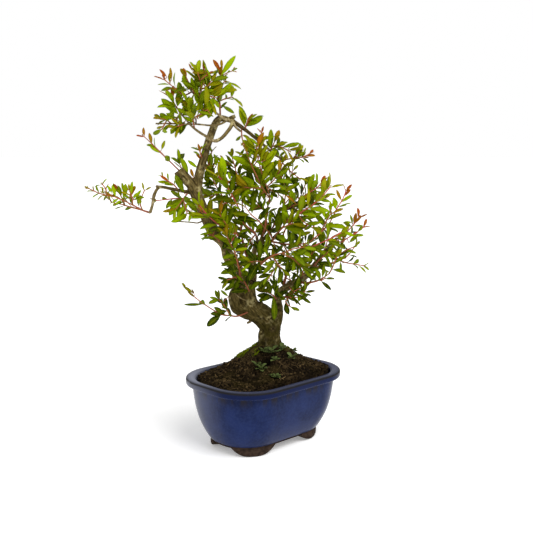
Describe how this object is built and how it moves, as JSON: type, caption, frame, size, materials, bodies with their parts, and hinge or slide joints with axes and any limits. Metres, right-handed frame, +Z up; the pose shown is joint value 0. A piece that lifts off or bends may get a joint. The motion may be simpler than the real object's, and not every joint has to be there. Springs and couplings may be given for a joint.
{
  "type": "pomegranate bonsai",
  "caption": "Pomegranate grown as a bonsai: a crooked trunk with a bent-over leader and airy leafy sprays, in a soil-filled glazed pot that stands on cloud-shaped corner feet.",
  "frame": {"origin": "on the ground, under the middle of the whole plant's box", "axes": "+Z up; +X along the pot's long side, to the right as seen from -Y"},
  "size_m": [0.3765, 0.3292, 0.6227],
  "materials": {
    "glaze": "gloss",
    "net": "matte",
    "soil": "matte",
    "bark": "matte",
    "foliage": "satin"
  },
  "bodies": {
    "root": {"pot": "glaze", "drain_screen_left": "net", "drain_screen_right": "net", "soil": "soil", "trunk": "bark", "apex": "foliage", "top_left_outer": "foliage", "top_left_inner": "foliage", "top_middle": "foliage", "top_front": "foliage", "top_back": "foliage", "elbow_tip": "foliage", "elbow_middle": "foliage", "shelf_under": "foliage", "shelf_end": "foliage", "shelf_back": "foliage", "arch_knee": "foliage", "arch_drop": "foliage", "arch_middle": "foliage", "arch_crown": "foliage", "arch_tip": "foliage", "arch_under": "foliage", "centre_rise": "foliage", "centre_fork": "foliage", "centre_reach": "foliage", "centre_left": "foliage", "back_right": "foliage", "back_left": "foliage", "front_low": "foliage", "front_left": "foliage", "trunk_back": "foliage", "trunk_front": "foliage", "trunk_side": "foliage", "trunk_low": "foliage", "leader_left": "foliage", "leader_right": "foliage", "stub_runner": "foliage", "stub_tuft": "foliage", "limb_sprig": "foliage", "limb_hanging": "foliage", "limb_pink": "foliage", "left_spray": "foliage", "right_tip": "foliage", "right_tip_up": "foliage", "right_side": "foliage", "right_low": "foliage", "right_back": "foliage", "back_low": "foliage", "low_right": "foliage", "low_centre": "foliage", "lower_left": "foliage", "limb_front": "foliage", "right_front": "foliage", "right_middle": "foliage", "right_up": "foliage"}
  },
  "joints": []
}
